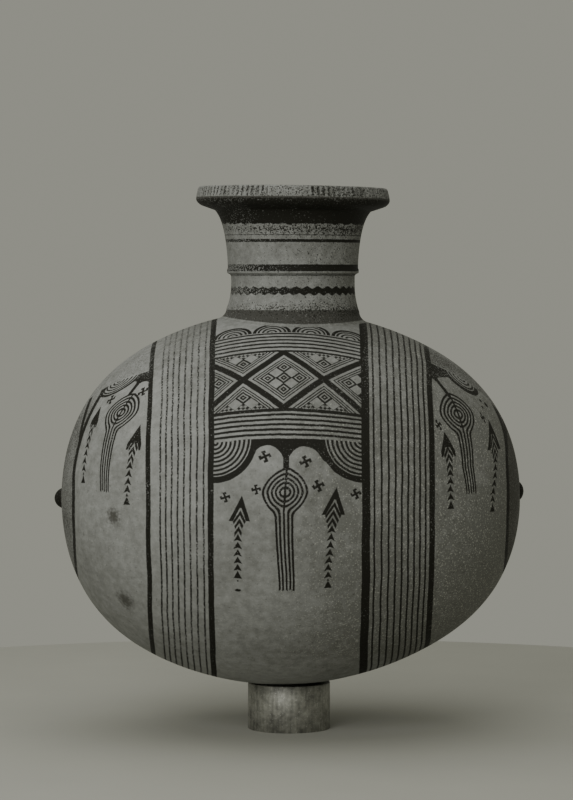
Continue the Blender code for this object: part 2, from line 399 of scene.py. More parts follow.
def jug_skin():
    """The barrel's outside, the neck, the bore and the hollow as one closed surface."""
    s = sizes()
    turns, offset = circle(s.columns), neck_offset()
    foot = float(neck_radius(np.array(s.foot_fillet))) + s.foot_fillet
    foot_top = barrel_top(foot * np.cos(turns) + offset, foot * np.sin(turns))
    steps = np.linspace(0.0, 1.0, OUTSIDE_ROWS + 1)[1:, None]
    rise = steps * (np.arctan2(foot_top, foot) + QUARTER) - QUARTER
    outside = shell_of_barrel(turns, rise, 0.0)

    line, outer_rows = neck_line()
    neck = neck_grid(line, turns)
    bore = line[-1, 0]
    roof = barrel_top(bore * np.cos(turns) + offset, bore * np.sin(turns), s.wall)
    steps = np.linspace(1.0, 0.0, HOLLOW_ROWS + 1)[:-1, None]
    fall = steps * (np.arctan2(roof, bore) + QUARTER) - QUARTER
    hollow = shell_of_barrel(turns, fall, s.wall)

    # The waves fade away towards the neck's foot and the ring
    outward = outside / np.linalg.norm(outside, axis=-1, keepdims=True)
    fading = np.linspace(0.0, 1.0, len(outside))[:, None, None]
    depth = s.unevenness * eased(8.0 - 8.0 * fading) * eased(6.0 * fading)
    outside = outside - outward * np.abs(waves(outside)[..., None]) * depth

    rows = np.concatenate([outside, neck, hollow])
    down = np.array([[0.0, 0.0, -1.0]])
    under = np.array([offset, 0.0, 0.0])
    low, high = (under + down[0] * barrel_reach(under, down, inset)[0] for inset in (0.0, s.wall))
    points, faces = closed_grid(rows, low, high)
    neck_from = (len(outside) - 1) * s.columns
    inner_row = len(outside) + outer_rows - 1
    inner_from = inner_row * s.columns
    # The seam of the neck and of the inside is at the back
    turned = -s.columns // 4
    pole = np.broadcast_to(high, (1, s.columns, 3))
    inner_runs = runs_of(np.concatenate([rows[inner_row:], pole]))
    neck_runs = runs_of(rows[len(outside) - 1:inner_row + 1])
    parts = [
        barrel_layout(points[faces[0][:neck_from]]),
        in_box(quad_shares(neck_runs, s.columns, turned), NECK_BOX),
        in_box(quad_shares(inner_runs[:-1], s.columns, turned), INSIDE_BOX),
        barrel_layout(points[faces[1]]),
        in_box(fan_shares(1.0, inner_runs[-2], s.columns, False, turned), INSIDE_BOX),
    ]
    places = np.concatenate([part.reshape(-1, 2) for part in parts])
    return points + middle(), faces, places, neck_from, inner_from


def knob_points(side, radius, height):
    """A rounded knob: an egg of revolution about the barrel's tilted axis."""
    s = sizes()
    long_radius = height + s.knob_root
    across = radius / math.sqrt(1.0 - (s.knob_root / long_radius) ** 2)

    def placed(polar, turns):
        """A point of the egg, tilted and lifted to the barrel's end."""
        along = side * (s.half_length - s.knob_root + long_radius * np.cos(polar))
        out = across * np.sin(polar)
        x, z = tilted(along, out * np.sin(turns))
        return stacked(x, out * np.cos(turns), z + s.knob_rise)

    polar = np.linspace(0.0, math.pi, KNOB_ROWS + 2)[:, None]
    low, *rows, high = placed(polar, circle(KNOB_COLUMNS))
    points, faces = closed_grid(np.array(rows), low[0], high[0])
    return points + middle(), faces, piece_layout(faces, KNOB_BOXES[int(side > 0.0)])


def handle_points():
    """The strap: an oval carried along one cubic curve from the ridge to the shoulder.

    With share t the curve is (1-t)^3 a + 3(1-t)^2 t b + 3(1-t) t^2 c + t^3 d. The oval is
    wide along X, flat along the curve's normal, and spreads towards both ends. Its first
    ring stands upright in the neck's wall.
    """
    s = sizes()
    neck = float(neck_radius(np.array(s.ridge_height + s.ridge_width)))
    start = np.array([neck - s.handle_root, s.ridge_height])
    foot_y = s.throat_radius + s.handle_foot_reach
    offset, nudge = neck_offset(), 0.0005
    nearby = np.array([foot_y - nudge, foot_y, foot_y + nudge])
    skin = barrel_top(np.full(3, offset), nearby) - s.radius
    slope = np.array([-(skin[2] - skin[0]), nearby[2] - nearby[0]])
    slope = slope / np.linalg.norm(slope)
    foot = np.array([foot_y, skin[1]]) - s.handle_root * slope
    leave = start + np.array([s.handle_reach, s.handle_rise])
    upright = np.array([slope[0], 1.0])
    arrive = foot + s.handle_foot_pull * upright / np.linalg.norm(upright)
    t = np.linspace(0.0, 1.0, STRAP_ROWS)[:, None]
    path = (1 - t) ** 3 * start + 3 * (1 - t) ** 2 * t * leave
    path = path + 3 * (1 - t) * t ** 2 * arrive + t ** 3 * foot
    ahead = np.gradient(path, axis=0)
    ahead = ahead / np.linalg.norm(ahead, axis=1, keepdims=True)
    outward = stacked(ahead[:, 1], -ahead[:, 0])
    ends = 1.0 + s.handle_spread * np.abs(2.0 * t - 1.0) ** 5
    turns = circle(STRAP_COLUMNS)
    hollowed = 1.0 - 0.10 * np.cos(turns) ** 2 * np.sign(np.sin(turns))
    across = s.handle_width / 2.0 * ends * np.cos(turns)
    thick = s.handle_thickness / 2.0 * np.sqrt(ends) * np.sin(turns) * hollowed
    y = path[:, :1] + outward[:, :1] * thick * eased(8.0 * t)
    z = path[:, 1:] + outward[:, 1:] * thick
    rows = stacked(across + offset, y, z + s.radius)
    points, faces = closed_grid(rows, rows[0].mean(axis=0), rows[-1].mean(axis=0))
    return points + middle(), faces, piece_layout(faces, STRAP_BOX)


# Boxes of the jug's baked map in its pixels: left, low, right, high
MAP = 1024.0
FRONT_CORNER = (4.0, 367.0)
BACK_BOX = (716.0, 690.0, 1020.0, 1020.0)
NECK_BOX = (4.0, 100.0, 706.0, 357.0)
INSIDE_BOX = (716.0, 330.0, 1020.0, 680.0)
STRAP_BOX = (716.0, 100.0, 1020.0, 320.0)
KNOB_BOXES = ((4.0, 4.0, 90.0, 90.0), (100.0, 4.0, 186.0, 90.0))


def in_box(shares, box):
    """Move shares from 0 to 1 into a box of the map."""
    left, low, right, high = box
    return (np.array([left, low]) + shares * np.array([right - left, high - low])) / MAP


def quad_shares(runs, columns, turned=0):
    """Corners of the quads between rows at the given runs, as shares of a box."""
    left = (np.arange(columns) + turned) % columns / columns
    right = left + 1.0 / columns
    low, high = runs[:-1, None], runs[1:, None]
    across = stacked(left, right, right, left)
    return stacked(across, stacked(low, low, high, high)).reshape(-1, 4, 2)


def fan_shares(pole, ring, columns, ahead, turned=0):
    """Corners of the triangles between a pole and a ring; ahead swaps the ring's corners."""
    left = (np.arange(columns) + turned) % columns / columns
    right = left + 1.0 / columns
    first, second = (right, left) if ahead else (left, right)
    return stacked(stacked((left + right) / 2.0, first, second), [pole, ring, ring])


def runs_of(rows):
    """Shares of the way along the first column of a grid."""
    along = along_line(rows[:, 0])
    return along / along[-1]


def eased_scale(value, low, high, fine, coarse):
    """Pixels from low to value, at a fine scale up to high and a coarse one elsewhere."""
    inner = fine * np.clip(value - low, 0.0, high - low)
    return inner + coarse * (np.minimum(value - low, 0.0) + np.maximum(value - high, 0.0))


def barrel_layout(corners):
    """Place on the map of faces of the barrel's outside, front and back apart.

    Across is the length along the barrel's profile and up is SKIN times the angle about
    the tilted axis, both in mm. The ornament of the front gets the finest scale.
    """
    s = sizes()
    bow = np.linspace(-QUARTER, QUARTER, 721)
    part = np.sin(bow)
    along = MM * s.half_length * part
    radius = MM * s.radius * np.cos(bow) * fuller(part)
    length_along = np.cumsum(np.hypot(np.gradient(along), np.gradient(radius)))
    length_along = length_along - length_along[len(bow) // 2]
    angles = np.arctan2(along / s.half_length, radius / s.radius)

    x, y, z = (MM * corners[..., axis] for axis in range(3))
    axial, upward = tilted(x, z, -1.0)
    leaning = np.arctan2(axial / s.half_length, np.hypot(y, upward) / s.radius)
    across = np.interp(leaning, angles, length_along)
    front = y.mean(axis=-1, keepdims=True) < 0.0
    up = SKIN * np.arctan2(upward, np.where(front, -y, y))
    quarter = SKIN * QUARTER
    first, last = length_along[0], length_along[-1]
    # Limits of the front's ornament in mm, then fine and coarse pixels per mm
    scale_across = (-110.0, 110.0, 1.85, 0.95)
    scale_up = (-70.0, 180.0, 2.0, 0.7)
    left = eased_scale(across, *scale_across) - eased_scale(first, *scale_across)
    low = eased_scale(up, *scale_up) - eased_scale(-quarter, *scale_up)
    fine = (stacked(left, low) + FRONT_CORNER) / MAP
    shares = stacked((last - across) / (last - first), (up + quarter) / (2.0 * quarter))
    return np.where(front[..., None], fine, in_box(shares, BACK_BOX))


def piece_layout(faces, box):
    """Place on the map of a closed grid, its rows evenly apart."""
    columns = len(faces[1])
    rows = len(faces[0]) // columns + 1
    runs = np.arange(1, rows + 1) / (rows + 1.0)
    parts = [
        quad_shares(runs, columns),
        fan_shares(0.0, runs[0], columns, True),
        fan_shares(1.0, runs[-1], columns, False),
    ]
    return np.concatenate([in_box(part, box).reshape(-1, 2) for part in parts])


def laid_out(name, points, faces, places):
    """A mesh object with the layout named OFBake, for baking its colours on."""
    made = mesh_object(name, points, faces)
    layer = made.data.uv_layers.new(name="OFBake")
    layer.data.foreach_set("uv", places.astype(np.float32).ravel())
    return made


def outward_faces(made):
    """Turn a closed mesh's faces so that they point out."""
    shape = bmesh.new()
    shape.from_mesh(made.data)
    bmesh.ops.recalc_face_normals(shape, faces=shape.faces)
    if shape.calc_volume(signed=True) < 0.0:
        bmesh.ops.reverse_faces(shape, faces=shape.faces)
    shape.to_mesh(made.data)
    shape.free()


def join_with(target, others):
    """Unite other closed meshes with the target and remove them."""
    for other in others:
        union = target.modifiers.new(other.name, "BOOLEAN")
        union.operation = "UNION"
        union.solver = "EXACT"
        union.object = other
    graph = bpy.context.evaluated_depsgraph_get()
    joined = bpy.data.meshes.new_from_object(target.evaluated_get(graph))
    target.modifiers.clear()
    spare = target.data
    target.data = joined
    bpy.data.meshes.remove(spare)
    for other in others:
        bpy.data.objects.remove(other, do_unlink=True)


# Node helpers: a Field is one number, vector or colour per point of a surface


class Field:
    """A socket whose value changes over a surface; arithmetic on it adds Math nodes."""

    def __init__(self, tree, socket):
        self.tree = tree
        self.socket = socket

    def __add__(self, other):
        return maths("ADD", self, other)

    def __sub__(self, other):
        return maths("SUBTRACT", self, other)

    def __rsub__(self, other):
        return maths("SUBTRACT", other, self)

    def __mul__(self, other):
        return maths("MULTIPLY", self, other)

    def __truediv__(self, other):
        return maths("DIVIDE", self, other)

    def __abs__(self):
        return maths("ABSOLUTE", self)

    def __neg__(self):
        return maths("MULTIPLY", self, -1.0)

    __radd__ = __add__
    __rmul__ = __mul__


def feed(value, socket):
    """Link a field to a socket, or set the socket's own value."""
    if isinstance(value, Field):
        value.tree.links.new(value.socket, socket)
    else:
        socket.default_value = (*value, 1.0) if socket.type == "RGBA" else value


def add_node(kind, values, **settings):
    """Add a node beside the fields that feed it; values are by the socket's name or number."""
    tree = next(value.tree for value in values.values() if isinstance(value, Field))
    node = tree.nodes.new("ShaderNode" + kind)
    for name, setting in settings.items():
        setattr(node, name, setting)
    for key, value in values.items():
        feed(value, node.inputs[key])
    return [Field(tree, output) for output in node.outputs]


def maths(operation, *values):
    """A Math node on fields and numbers."""
    return add_node("Math", dict(enumerate(values)), operation=operation)[0]


def either(*fields):
    """Distance to the nearest of several forms."""
    return functools.reduce(functools.partial(maths, "MINIMUM"), fields)


def within(*fields):
    """Distance to where all the forms overlap."""
    return functools.reduce(functools.partial(maths, "MAXIMUM"), fields)


def held(value):
    """Hold a value between 0 and 1."""
    return either(within(value, 0.0), 1.0)


def rising(value, low, high):
    """Go from 0 to 1 between two values."""
    return held((value - low) / (high - low))


def hypot(a, b):
    """Length of the vector a, b."""
    return maths("SQRT", a * a + b * b)


def stripe(x, centre, width):
    """Distance to a straight stripe."""
    return abs(x - centre) - width / 2.0


def between(x, low, high):
    """Distance to the zone between two limits."""
    return stripe(x, (low + high) / 2.0, high - low)


def cell(x, pitch):
    """Place from the middle of the nearest of endless cells, half a pitch at most."""
    return (maths("FRACT", x / pitch) - 0.5) * pitch


def comb(x, start, pitch, count, width, bow=0.0):
    """Distance to count stripes a pitch apart; bow shifts the middle ones."""
    index = maths("ROUND", (x - start) / pitch)
    index = within(either(index, count - 1.0), 0.0)
    part = index * (2.0 / (count - 1)) - 1.0
    centre = index * pitch + start + (1.0 - part * part) * bow
    return stripe(x, centre, width)


def smooth_edge(distance, soft):
    """1 inside a form, 0 outside it, blurred over soft."""
    limits = {"From Min": -soft, "From Max": soft, "To Min": 1.0, "To Max": 0.0}
    return add_node("MapRange", {"Value": distance, **limits}, interpolation_type="SMOOTHSTEP")[0]


def noise(place, scale, detail=2.0, roughness=0.5):
    """A noise value round 0.5 at a place."""
    values = {"Vector": place, "Scale": scale, "Detail": detail, "Roughness": roughness}
    return add_node("TexNoise", values)[0]


def vector_of(*fields):
    """A vector from its three parts."""
    return add_node("CombineXYZ", dict(enumerate(fields)))[0]


def parts_of(vector):
    """The three parts of a vector."""
    return add_node("SeparateXYZ", {0: vector})


def mixed(amount, first, second):
    """A colour between two colours."""
    return add_node("Mix", {0: amount, 6: first, 7: second}, data_type="RGBA")[2]


KINDS = {"Spot": "Vector", "Position": "Vector", "Clay": "Color", "Dark": "Color",
         "Colour": "Color"}


def grouped(name, takes, gives="Distance"):
    """Keep a function's nodes in a node group, made at its first call and placed at each.

    Takes and gives are the labels of the group's inputs and outputs. A call gives the
    inputs in order or by label, and returns the outputs as fields.
    """

    def build(draw):
        """Make the group from what the function draws."""
        tree = bpy.data.node_groups.new(name, "ShaderNodeTree")
        for labels, way in ((takes, "INPUT"), (gives, "OUTPUT")):
            for label in labels.split():
                kind = "NodeSocket" + KINDS.get(label, "Float")
                tree.interface.new_socket(name=label, in_out=way, socket_type=kind)
        entry = tree.nodes.new("NodeGroupInput")
        leave = tree.nodes.new("NodeGroupOutput")
        made = draw(*(Field(tree, entry.outputs[label]) for label in takes.split()))
        for field, label in zip(made if isinstance(made, tuple) else (made,), gives.split()):
            feed(field, leave.inputs[label])

    def kept(draw):
        """Replace the function by one that places its group."""

        def place(*values, **named):
            """Place the group and return its outputs."""
            if name not in bpy.data.node_groups:
                build(draw)
            group = bpy.data.node_groups[name]
            found = add_node("Group", dict(enumerate(values)) | named, node_tree=group)
            return found if len(found) > 1 else found[0]

        return place

    return kept


# Painted forms: each gives the distance to its edge in millimetres, and so are its numbers


@grouped("Keyhole", "Across Up Lean Hold Drift Length Taper")
def keyhole(across, up, lean, hold, drift, long, taper):
    """Pointed rings on an upright line; the outer two flow into a stem of five lines.

    A ring is a level of w * |(a, b)| + (1 - w) * (a + b), with a the distance beside a
    short level segment and b the height, eased near 0, so it is pointed only at the top.
    """
    head, round_share = 15.0, 0.64
    low = held((-up - head) / (long - head))
    across = across - lean * within(up, -hold) - drift * low
    across = across * (taper * low + 1.0)
    side = within(abs(across) - 1.6, 0.0)
    high = abs(up) * 0.90
    eased_high = maths("SQRT", high * high + 9.0) - 3.0
    ring = round_share * hypot(side, high) + (1.0 - round_share) * (side + eased_high)
    lines = [stripe(ring, level, 1.72) for level in (8.4, 5.4, 2.3)]
    for level, half_stem in ((head, 6.3), (11.6, 3.3)):
        strip = within(abs(across) - half_stem, up)
        lines.append(stripe(maths("SMOOTH_MIN", ring - level, strip, 4.5), 0.0, 1.80))
    lines.append(within(abs(across) - 0.85, up - 18.0))
    ends = noise(vector_of(across, 0.0, 0.0), 0.45, 1.0) * 7.0 - 3.5
    return within(either(*lines), -long + ends - up)


@grouped("Chevron tree", "Across Up Drift Reach Length Width Nested Legs Solid")
def chevron_tree(across, up, drift, reach, long, width, nested, legs, solid):
    """A heavy arrowhead over nested chevrons and a chain of small ones that ends solid."""
    pitch, chain_top, last_high = 6.04, 29.5, 6.5
    depth = within(-up, 0.0)
    side = abs(across - drift * either(depth / reach, 1.0))
    under = (up + 2.45 * side) / 2.65
    limbs = within(under, -3.0 - under, -legs - up)
    head = within(either(limbs, within(under, -solid - up)), side - width)
    row = up + side * 1.75
    beat = abs(cell(row + 13.3 + pitch / 2.0, pitch))
    taper = 2.6 + (width - 3.3) * within(1.0 - (depth - 13.0) / nested, 0.0)
    chevrons = within((beat - 1.85) / 2.0, side - taper, row + 10.0, -28.4 - row)
    # Below the chevrons each arrowhead is a triangle with a shallow notch
    down = -chain_top - up
    from_tip = cell(down, pitch) + pitch / 2.0
    arrow = within((side - from_tip * 0.54) * 0.88, from_tip - 4.7 - side * 0.40, -down,
                   last_high - long - up)
    last = within((up + long - last_high + side * 2.1) / 2.3, -long - up)
    return either(head, chevrons, arrow, last)


@grouped("Hooked cross", "Across Up Turn Hook")
def hooked_cross(across, up, turn, hook):
    """A small cross whose arms end in short hooks."""
    arm, half_line = 4.4, 0.95
    turn_cos, turn_sin = maths("COSINE", turn), maths("SINE", turn)
    a = across * turn_cos + up * turn_sin
    b = up * turn_cos - across * turn_sin
    bend = hook * (arm / 2.0)
    lines = [within(abs(one) - arm, abs(other) - half_line) for one, other in ((a, b), (b, a))]
    for along, beside in ((b, a), (-b, -a), (a, -b), (-a, b)):
        lines.append(within(abs(along - arm + half_line) - half_line, abs(beside - bend) - bend))
    return either(*lines)


def arcs(across, up, radius, pitch, width, outer):
    """Concentric arcs under a thick outer one, on all sides of a centre."""
    ring = hypot(across, up)
    thin = abs(cell(radius - outer - ring, pitch)) - width / 2.0
    thin = within(thin, ring - (radius - outer))
    return either(thin, between(ring, radius - outer, radius)), ring


# Places along the barrel of its heavy bands, in mm from its middle
LEFT_BAND, RIGHT_BAND = -60.4, 56.5
LEFT_OUTER, RIGHT_OUTER = -108.2, 107.2
# Place along and width of each heavy band
HEAVY = ((LEFT_BAND, 4.4), (RIGHT_BAND, 6.3), (LEFT_OUTER, 3.7), (RIGHT_OUTER, 4.4))
# Between them: start, pitch, count, width and bow of the thin stripes
THIN = ((-98.8, 4.73, 8, 1.3, -1.0), (62.8, 4.91, 9, 1.45, 1.5))


@grouped("Barrel bands", "Along")
def bands(x):
    """Stripes round the barrel on both sides of the front panel."""
    return either(*(stripe(x, *heavy) for heavy in HEAVY), *(comb(x, *thin) for thin in THIN))


# The lattice in mm: its edges up the skin, and one lozenge's centre and half sizes
LATTICE_TOP, LATTICE_BOTTOM = 137.5, 79.0
LOZENGE = (-5.5, 108.3)
HALF_WIDE, HALF_HIGH = 30.9, 27.7


def lattice(x, v):
    """Crossed diagonals with lozenges between them, each filled with a small chequer."""
    a = (x - LOZENGE[0]) / HALF_WIDE
    b = (v - LOZENGE[1]) / HALF_HIGH
    apart = HALF_WIDE * HALF_HIGH / math.hypot(HALF_WIDE, HALF_HIGH)
    first = cell(a + b + 1.0, 2.0) * apart
    second = cell(a - b + 1.0, 2.0) * apart
    edge = either(apart - abs(first), apart - abs(second))
    diagonals = edge - 2.5
    lines = comb(edge, 5.05, 1.95, 2, 0.95)
    # The lozenge's inside is a three by three chequer of squares
    square = 4.1
    along, beside = first / square, second / square
    near_along, near_beside = maths("ROUND", along / 2.0), maths("ROUND", beside / 2.0)
    ring = within(abs(along - near_along * 2.0), abs(beside - near_beside * 2.0))
    odd = maths("MODULO", abs(near_along) + abs(near_beside), 2.0)
    ringed = either(0.70 - ring, within(0.15 - ring, ring - 0.46))
    # Lozenges on the lattice's edges are finely chequered, those by the right band are solid
    fine = cell(along, 1.0) * cell(beside, 1.0) * 1.6
    edging = maths("GREATER_THAN", abs(v - LOZENGE[1]), 22.0)
    solid = maths("GREATER_THAN", abs(x - LOZENGE[0]), 55.0)
    marked = ringed * (1.0 - edging) + fine * edging - solid
    filled = (marked * (1.0 - odd) + (0.92 - ring) * odd) * square
    inside = (within(abs(along), abs(beside)) - 3.0) * square
    rim = within(-inside - 0.75, inside)
    return either(diagonals, lines, within(filled, inside), rim)


@grouped("Front panel", "Along Up")
def front_panel(x, v):
    """The front panel: arcs, lines, lattice, lines, hanging lobes and their black ground."""
    top, pitch, ground_top, corner = 164.0, 30.4, 55.6, 32.5
    arc_row = within(arcs(cell(x + 60.3, pitch), v - top, 14.8, 3.5, 1.7, 2.7)[0], top - v)
    top_lines = within(comb(v, 161.8 - 5 * 4.85, 4.85, 6, 2.15), between(v, 136.0, 163.0))
    net = within(lattice(x, v), between(v, LATTICE_BOTTOM, LATTICE_TOP))
    low_lines = comb(v, LATTICE_BOTTOM - 5 * 4.05, 4.05, 6, 1.9)
    thick = stripe(v, LATTICE_BOTTOM, 2.9)

    left_arcs, left_ring = arcs(x + 57.3, v - 55.4, corner, 3.45, 1.75, 5.0)
    right_arcs, right_ring = arcs(x - 53.4, v - 55.9, corner, 3.45, 1.75, 5.0)
    corners = either(within(left_arcs, left_ring - corner), within(right_arcs, right_ring - corner))
    corners = within(corners, v - ground_top)
    # Two light lobes hang side by side in the black, parted by a stem
    lobes = either(hypot(x + 17.8, v - 39.3) - 10.9, hypot(x - 10.4, v - 37.4) - 12.0)
    below = within(v - 37.5, corner - left_ring, corner - right_ring)
    light = maths("SMOOTH_MIN", lobes, below, 11.0)
    ground = within(-light, v - ground_top, 28.0 - left_ring, 28.0 - right_ring)
    stem = within(abs(x + 3.8) - 2.2, 31.2 - v, v - 46.0)
    drawn = either(arc_row, top_lines, net, low_lines, thick, corners, ground, stem)
    return within(drawn, between(x, LEFT_BAND, RIGHT_BAND), v - 180.0)


@grouped("Front motifs", "Along Up")
def front_motifs(x, v):
    """The keyhole and the two trees of the front panel, with two dots below the left one."""
    return either(
        keyhole(x + 4.4, v - 14.2, Lean=0.07, Hold=15.0, Drift=2.1, Length=77.0, Taper=0.22),
        chevron_tree(x + 37.0, v - 12.0, Drift=-3.2, Reach=30.0, Length=65.7, Width=8.7,
                     Nested=12.0, Legs=19.6, Solid=9.6),
        chevron_tree(x - 34.1, v - 18.3, Drift=-6.4, Reach=62.0, Length=80.2, Width=9.4,
                     Nested=20.0, Legs=21.5, Solid=9.6),
        hypot(x + 40.3, v + 56.0) - 0.7,
        hypot((x + 40.2) * 0.5, v + 63.9) - 1.2,
    )


# The front's small crosses: place along and up in mm, turn in degrees and size
CROSSES = (
    (-19.6, 41.3, 25.0, 1.00), (10.9, 37.5, 28.0, 1.00), (-26.2, 16.5, 15.0, 0.80),
    (20.5, 19.0, 30.0, 1.00), (-49.6, 10.6, 20.0, 0.85), (48.6, 13.2, 25.0, 0.90),
)


@grouped("Front crosses", "Along Up Hook")
def front_crosses(x, v, hook):
    """The small crosses scattered over the front panel."""
    return either(*(
        hooked_cross((x - along) / size, (v - up) / size, math.radians(turn), hook) * size
        for along, up, turn, size in CROSSES
    ))


# Each side panel: angles from the front in degrees, other measures in mm. A keyhole has
# its angle, place up, size, lean, hold and drift; a tree its angle, place up, drift,
# reach, length, width, nested, legs and solid, as the inputs of their groups are called
LEFT_SIDE = {
    "sign": -1.0,
    "keyhole": (57.3, 74.3, 0.92, -0.08, 15.0, -8.5),
    "trees": (
        (48.1, 64.9, -1.5, 40.0, 62.6, 6.6, 12.0, 20.5, 15.0),
        (68.1, 78.8, -12.0, 60.0, 62.4, 5.2, 8.0, 18.0, 16.0),
    ),
    "crosses": ((53.7, 93.3, 30.0, 0.9), (65.1, 84.9, 20.0, 0.9)),
    "arcs": {"angle": 68.4, "aside": 0.8, "up": 102.0, "slope": 25.4, "radius": 21.4,
             "squash": 1.5, "outer": 3.2},
    "black": 102.8,
    "end": (15.0, 0.0044),
    "worn": 0.20,
    "dots": ((56.0, 84.0, 0.1),),
}
RIGHT_SIDE = {
    "sign": 1.0,
    "keyhole": (57.5, 72.7, 1.0, 0.22, 42.0, -0.5),
    "trees": (
        (49.5, 59.0, -5.9, 45.0, 60.2, 6.4, 12.0, 20.0, 12.6),
        (70.2, 67.2, -24.8, 60.0, 72.6, 12.0, 20.0, 25.0, 12.6),
    ),
    "crosses": ((48.5, 64.4, 25.0, 0.6), (67.6, 68.6, 8.0, 0.6)),
    "arcs": {"angle": 70.0, "aside": 6.0, "up": 104.5, "slope": 44.0, "radius": 16.8,
             "squash": 1.0, "outer": 4.4},
    "black": 106.4,
    "end": (40.0, 0.0072),
    "worn": 0.12,
    "dots": ((74.6, 79.0, 2.4), (72.6, 83.0, 1.6), (71.0, 77.5, 1.2)),
}
SIDE_FROM = 107.0


def side_panel(name, plan):
    """One side panel: black top, hanging arcs, keyhole, trees and crosses.

    Its group also gives the distance beyond the panel's slanting upper edge.
    """

    @grouped(name, "Out Back Up Hook", "Distance Above")
    def panel(out, back, up, hook):
        """Draw the panel from the plan."""

        def swung(angle):
            """Distance along the skin from the upright plane at an angle from the front."""
            turn = math.radians(angle)
            return out * math.cos(turn) - back * math.sin(turn)

        angle, height, size, *shape = plan["keyhole"]
        across, rise = swung(angle) / size, (up - height) / size
        drawn = [keyhole(across, rise, *shape, Length=63.0 / size, Taper=0.42) * size]
        # The black top narrows to a stem over the keyhole
        stem = within(abs(swung(angle + 1.0)) - 1.7, height + 15.0 - up)
        black = maths("SMOOTH_MIN", stem, plan["black"] - up, 6.0)
        for angle, height, *shape in plan["trees"]:
            drawn.append(chevron_tree(swung(angle), up - height, *shape))
        for angle, height, turn, narrow in plan["crosses"]:
            turned = plan["sign"] * math.radians(turn)
            drawn.append(hooked_cross(swung(angle) / narrow, up - height, turned, hook))
        for angle, height, radius in plan["dots"]:
            drawn.append(hypot(swung(angle), up - height) - radius)

        hung = plan["arcs"]
        slope, radius = math.radians(hung["slope"]), hung["radius"]
        aside, rise = swung(hung["angle"]) - hung["aside"], up - hung["up"]
        chord = aside * math.cos(slope) - rise * math.sin(slope)
        above = aside * math.sin(slope) + rise * math.cos(slope)
        lobe, ring = arcs(chord, above * hung["squash"], radius, 3.7, 1.7, hung["outer"])
        drawn.append(within(lobe, ring - radius, above))
        drawn.append(within(black, above, radius - ring))
        return within(either(*drawn), SIDE_FROM - out), above

    return panel


@grouped("End lines", "Out Height Start Bend Above", "Line Wash")
def end_lines(out, height, start, bend, above):
    """Lines round the barrel's ends, and the wash on the caps beyond them.

    The first line is where the place along is 169 - bend * (height - start)^2. A second
    one branches off from it upwards.
    """
    over = within(height - start, 0.0)
    beyond = out - 169.0 + bend * over * over
    high = height - 45.0
    lines = either(abs(beyond) - 1.3, within(abs(beyond - high * 0.2) - 1.2, -high))
    return within(lines, above), either(-beyond, 1.0 - above)


@grouped("Neck paint", "Height Turn")
def neck_paint(height, turn):
    """Stripes, the wavy band, a dark band under the rim that is partly painted shade, and the rim's
    dashes; heights are above the crown in mm.
    """
    rim, sway = 77.0, 0.9
    beat = maths("SINE", turn * (math.tau / 0.179)) * sway
    other = maths("SINE", turn * (math.tau / 0.163) + 1.0) * sway
    wavy = within(stripe(height - beat, 15.1, 6.6), stripe(height + other, 16.2, 6.6))
    # The dark band from the throat's top over the rim's underside is partly paint and partly
    # painted shade under the rim's overhang
    ragged = noise(vector_of(turn * 9.0, height * 0.1, 0.0), 1.0) * 4.0
    dark = within(70.0 - ragged - height, height - 88.6 + ragged * 0.5)
    rings = (stripe(height, *ring) for ring in ((33.6, 5.4), (54.9, 2.4), (59.4, 0.5), (28.0, 0.7)))
    half_turn = cell(turn + QUARTER, math.pi)
    groups = either(*(
        between(half_turn, math.radians(first), math.radians(last))
        for first, last in ((-78.0, -15.0), (10.0, 47.0))
    ))
    dash = abs(cell(turn * rim, 4.4)) - 1.05
    strokes = within(dash, between(height, 89.5, 96.8), groups * rim)
    return either(wavy, *rings, dark, strokes)


MEASURES = "Along Back Height Up Droop Arc Shake"


@grouped("Painter's measures", "Spot", MEASURES)
def measures(spot):
    """A painter's measures in mm from the barrel's middle, with a hand's slow sway.

    Along is the place along the barrel, Back the depth to the front or the back, Up the
    length over the skin from the front's middle, Droop the same with a sag to both sides,
    Arc the length up a side, and Shake the small tremble of the hand.
    """
    x, y, z = parts_of(spot)
    sway = noise(spot, 0.030, 0.0) * 1.4 - 0.7
    shake = noise(spot, 0.16, 1.0) * 0.8 - 0.4
    up = maths("ARCTAN2", z, abs(y)) * SKIN - sway * 0.8 + shake
    arc = maths("ARCSINE", either(within(z / SKIN, -0.999), 0.999)) * SKIN + shake
    droop = up + x * x * (1.6 / 58.0 ** 2)
    return x + sway + shake * 0.4, abs(y), z, up, droop, arc, shake


@grouped("Worn paint", "Distance Wear Spot", "Paint")
def worn_paint(distance, wear, spot):
    """Turns the distance to a painted form into paint with crumbling edges and bare specks."""
    grain = noise(spot, 0.9, 3.0, 0.65)
    patch = noise(spot, 0.022)
    paint = smooth_edge(distance + (grain - 0.5) * 0.9, 0.28)
    worn = grain + (patch - 0.5) * 0.30 + wear
    losses = smooth_edge((0.68 - worn) * 10.0, 0.6)
    return paint * (1.0 - losses * 0.85)


@grouped("Clay", "Position Dirt Clay Dark", "Colour Speckle")
def mottled_clay(place, dirt, clay, dark):
    """Mottled clay: slow patches, smaller blotches, dark pits and pale grit, with its tone shifted
    by grime and by painted shade and light.
    """
    clouds = noise(place, 14.0, 3.0, 0.55)
    blotches = noise(place, 150.0, 4.0, 0.68)
    specks = noise(place, 430.0, 2.0, 0.7)
    grit = noise(place, 800.0, 1.0, 0.6)
    tone = (clouds - 0.5) * 0.9 + (blotches - 0.5) * 1.3 + 0.56 - dirt * 0.52
    base = mixed(held(tone), dark, clay)
    pits = smooth_edge((specks - 0.315 - dirt * 0.05) * 20.0, 0.8)
    base = mixed(pits * 0.45, base, colours().soot)
    pale = smooth_edge((0.715 - dirt * 0.075 - grit) * 20.0, 0.8)
    return mixed(pale * (dirt * 0.16 + 0.22), base, colours().grit), specks


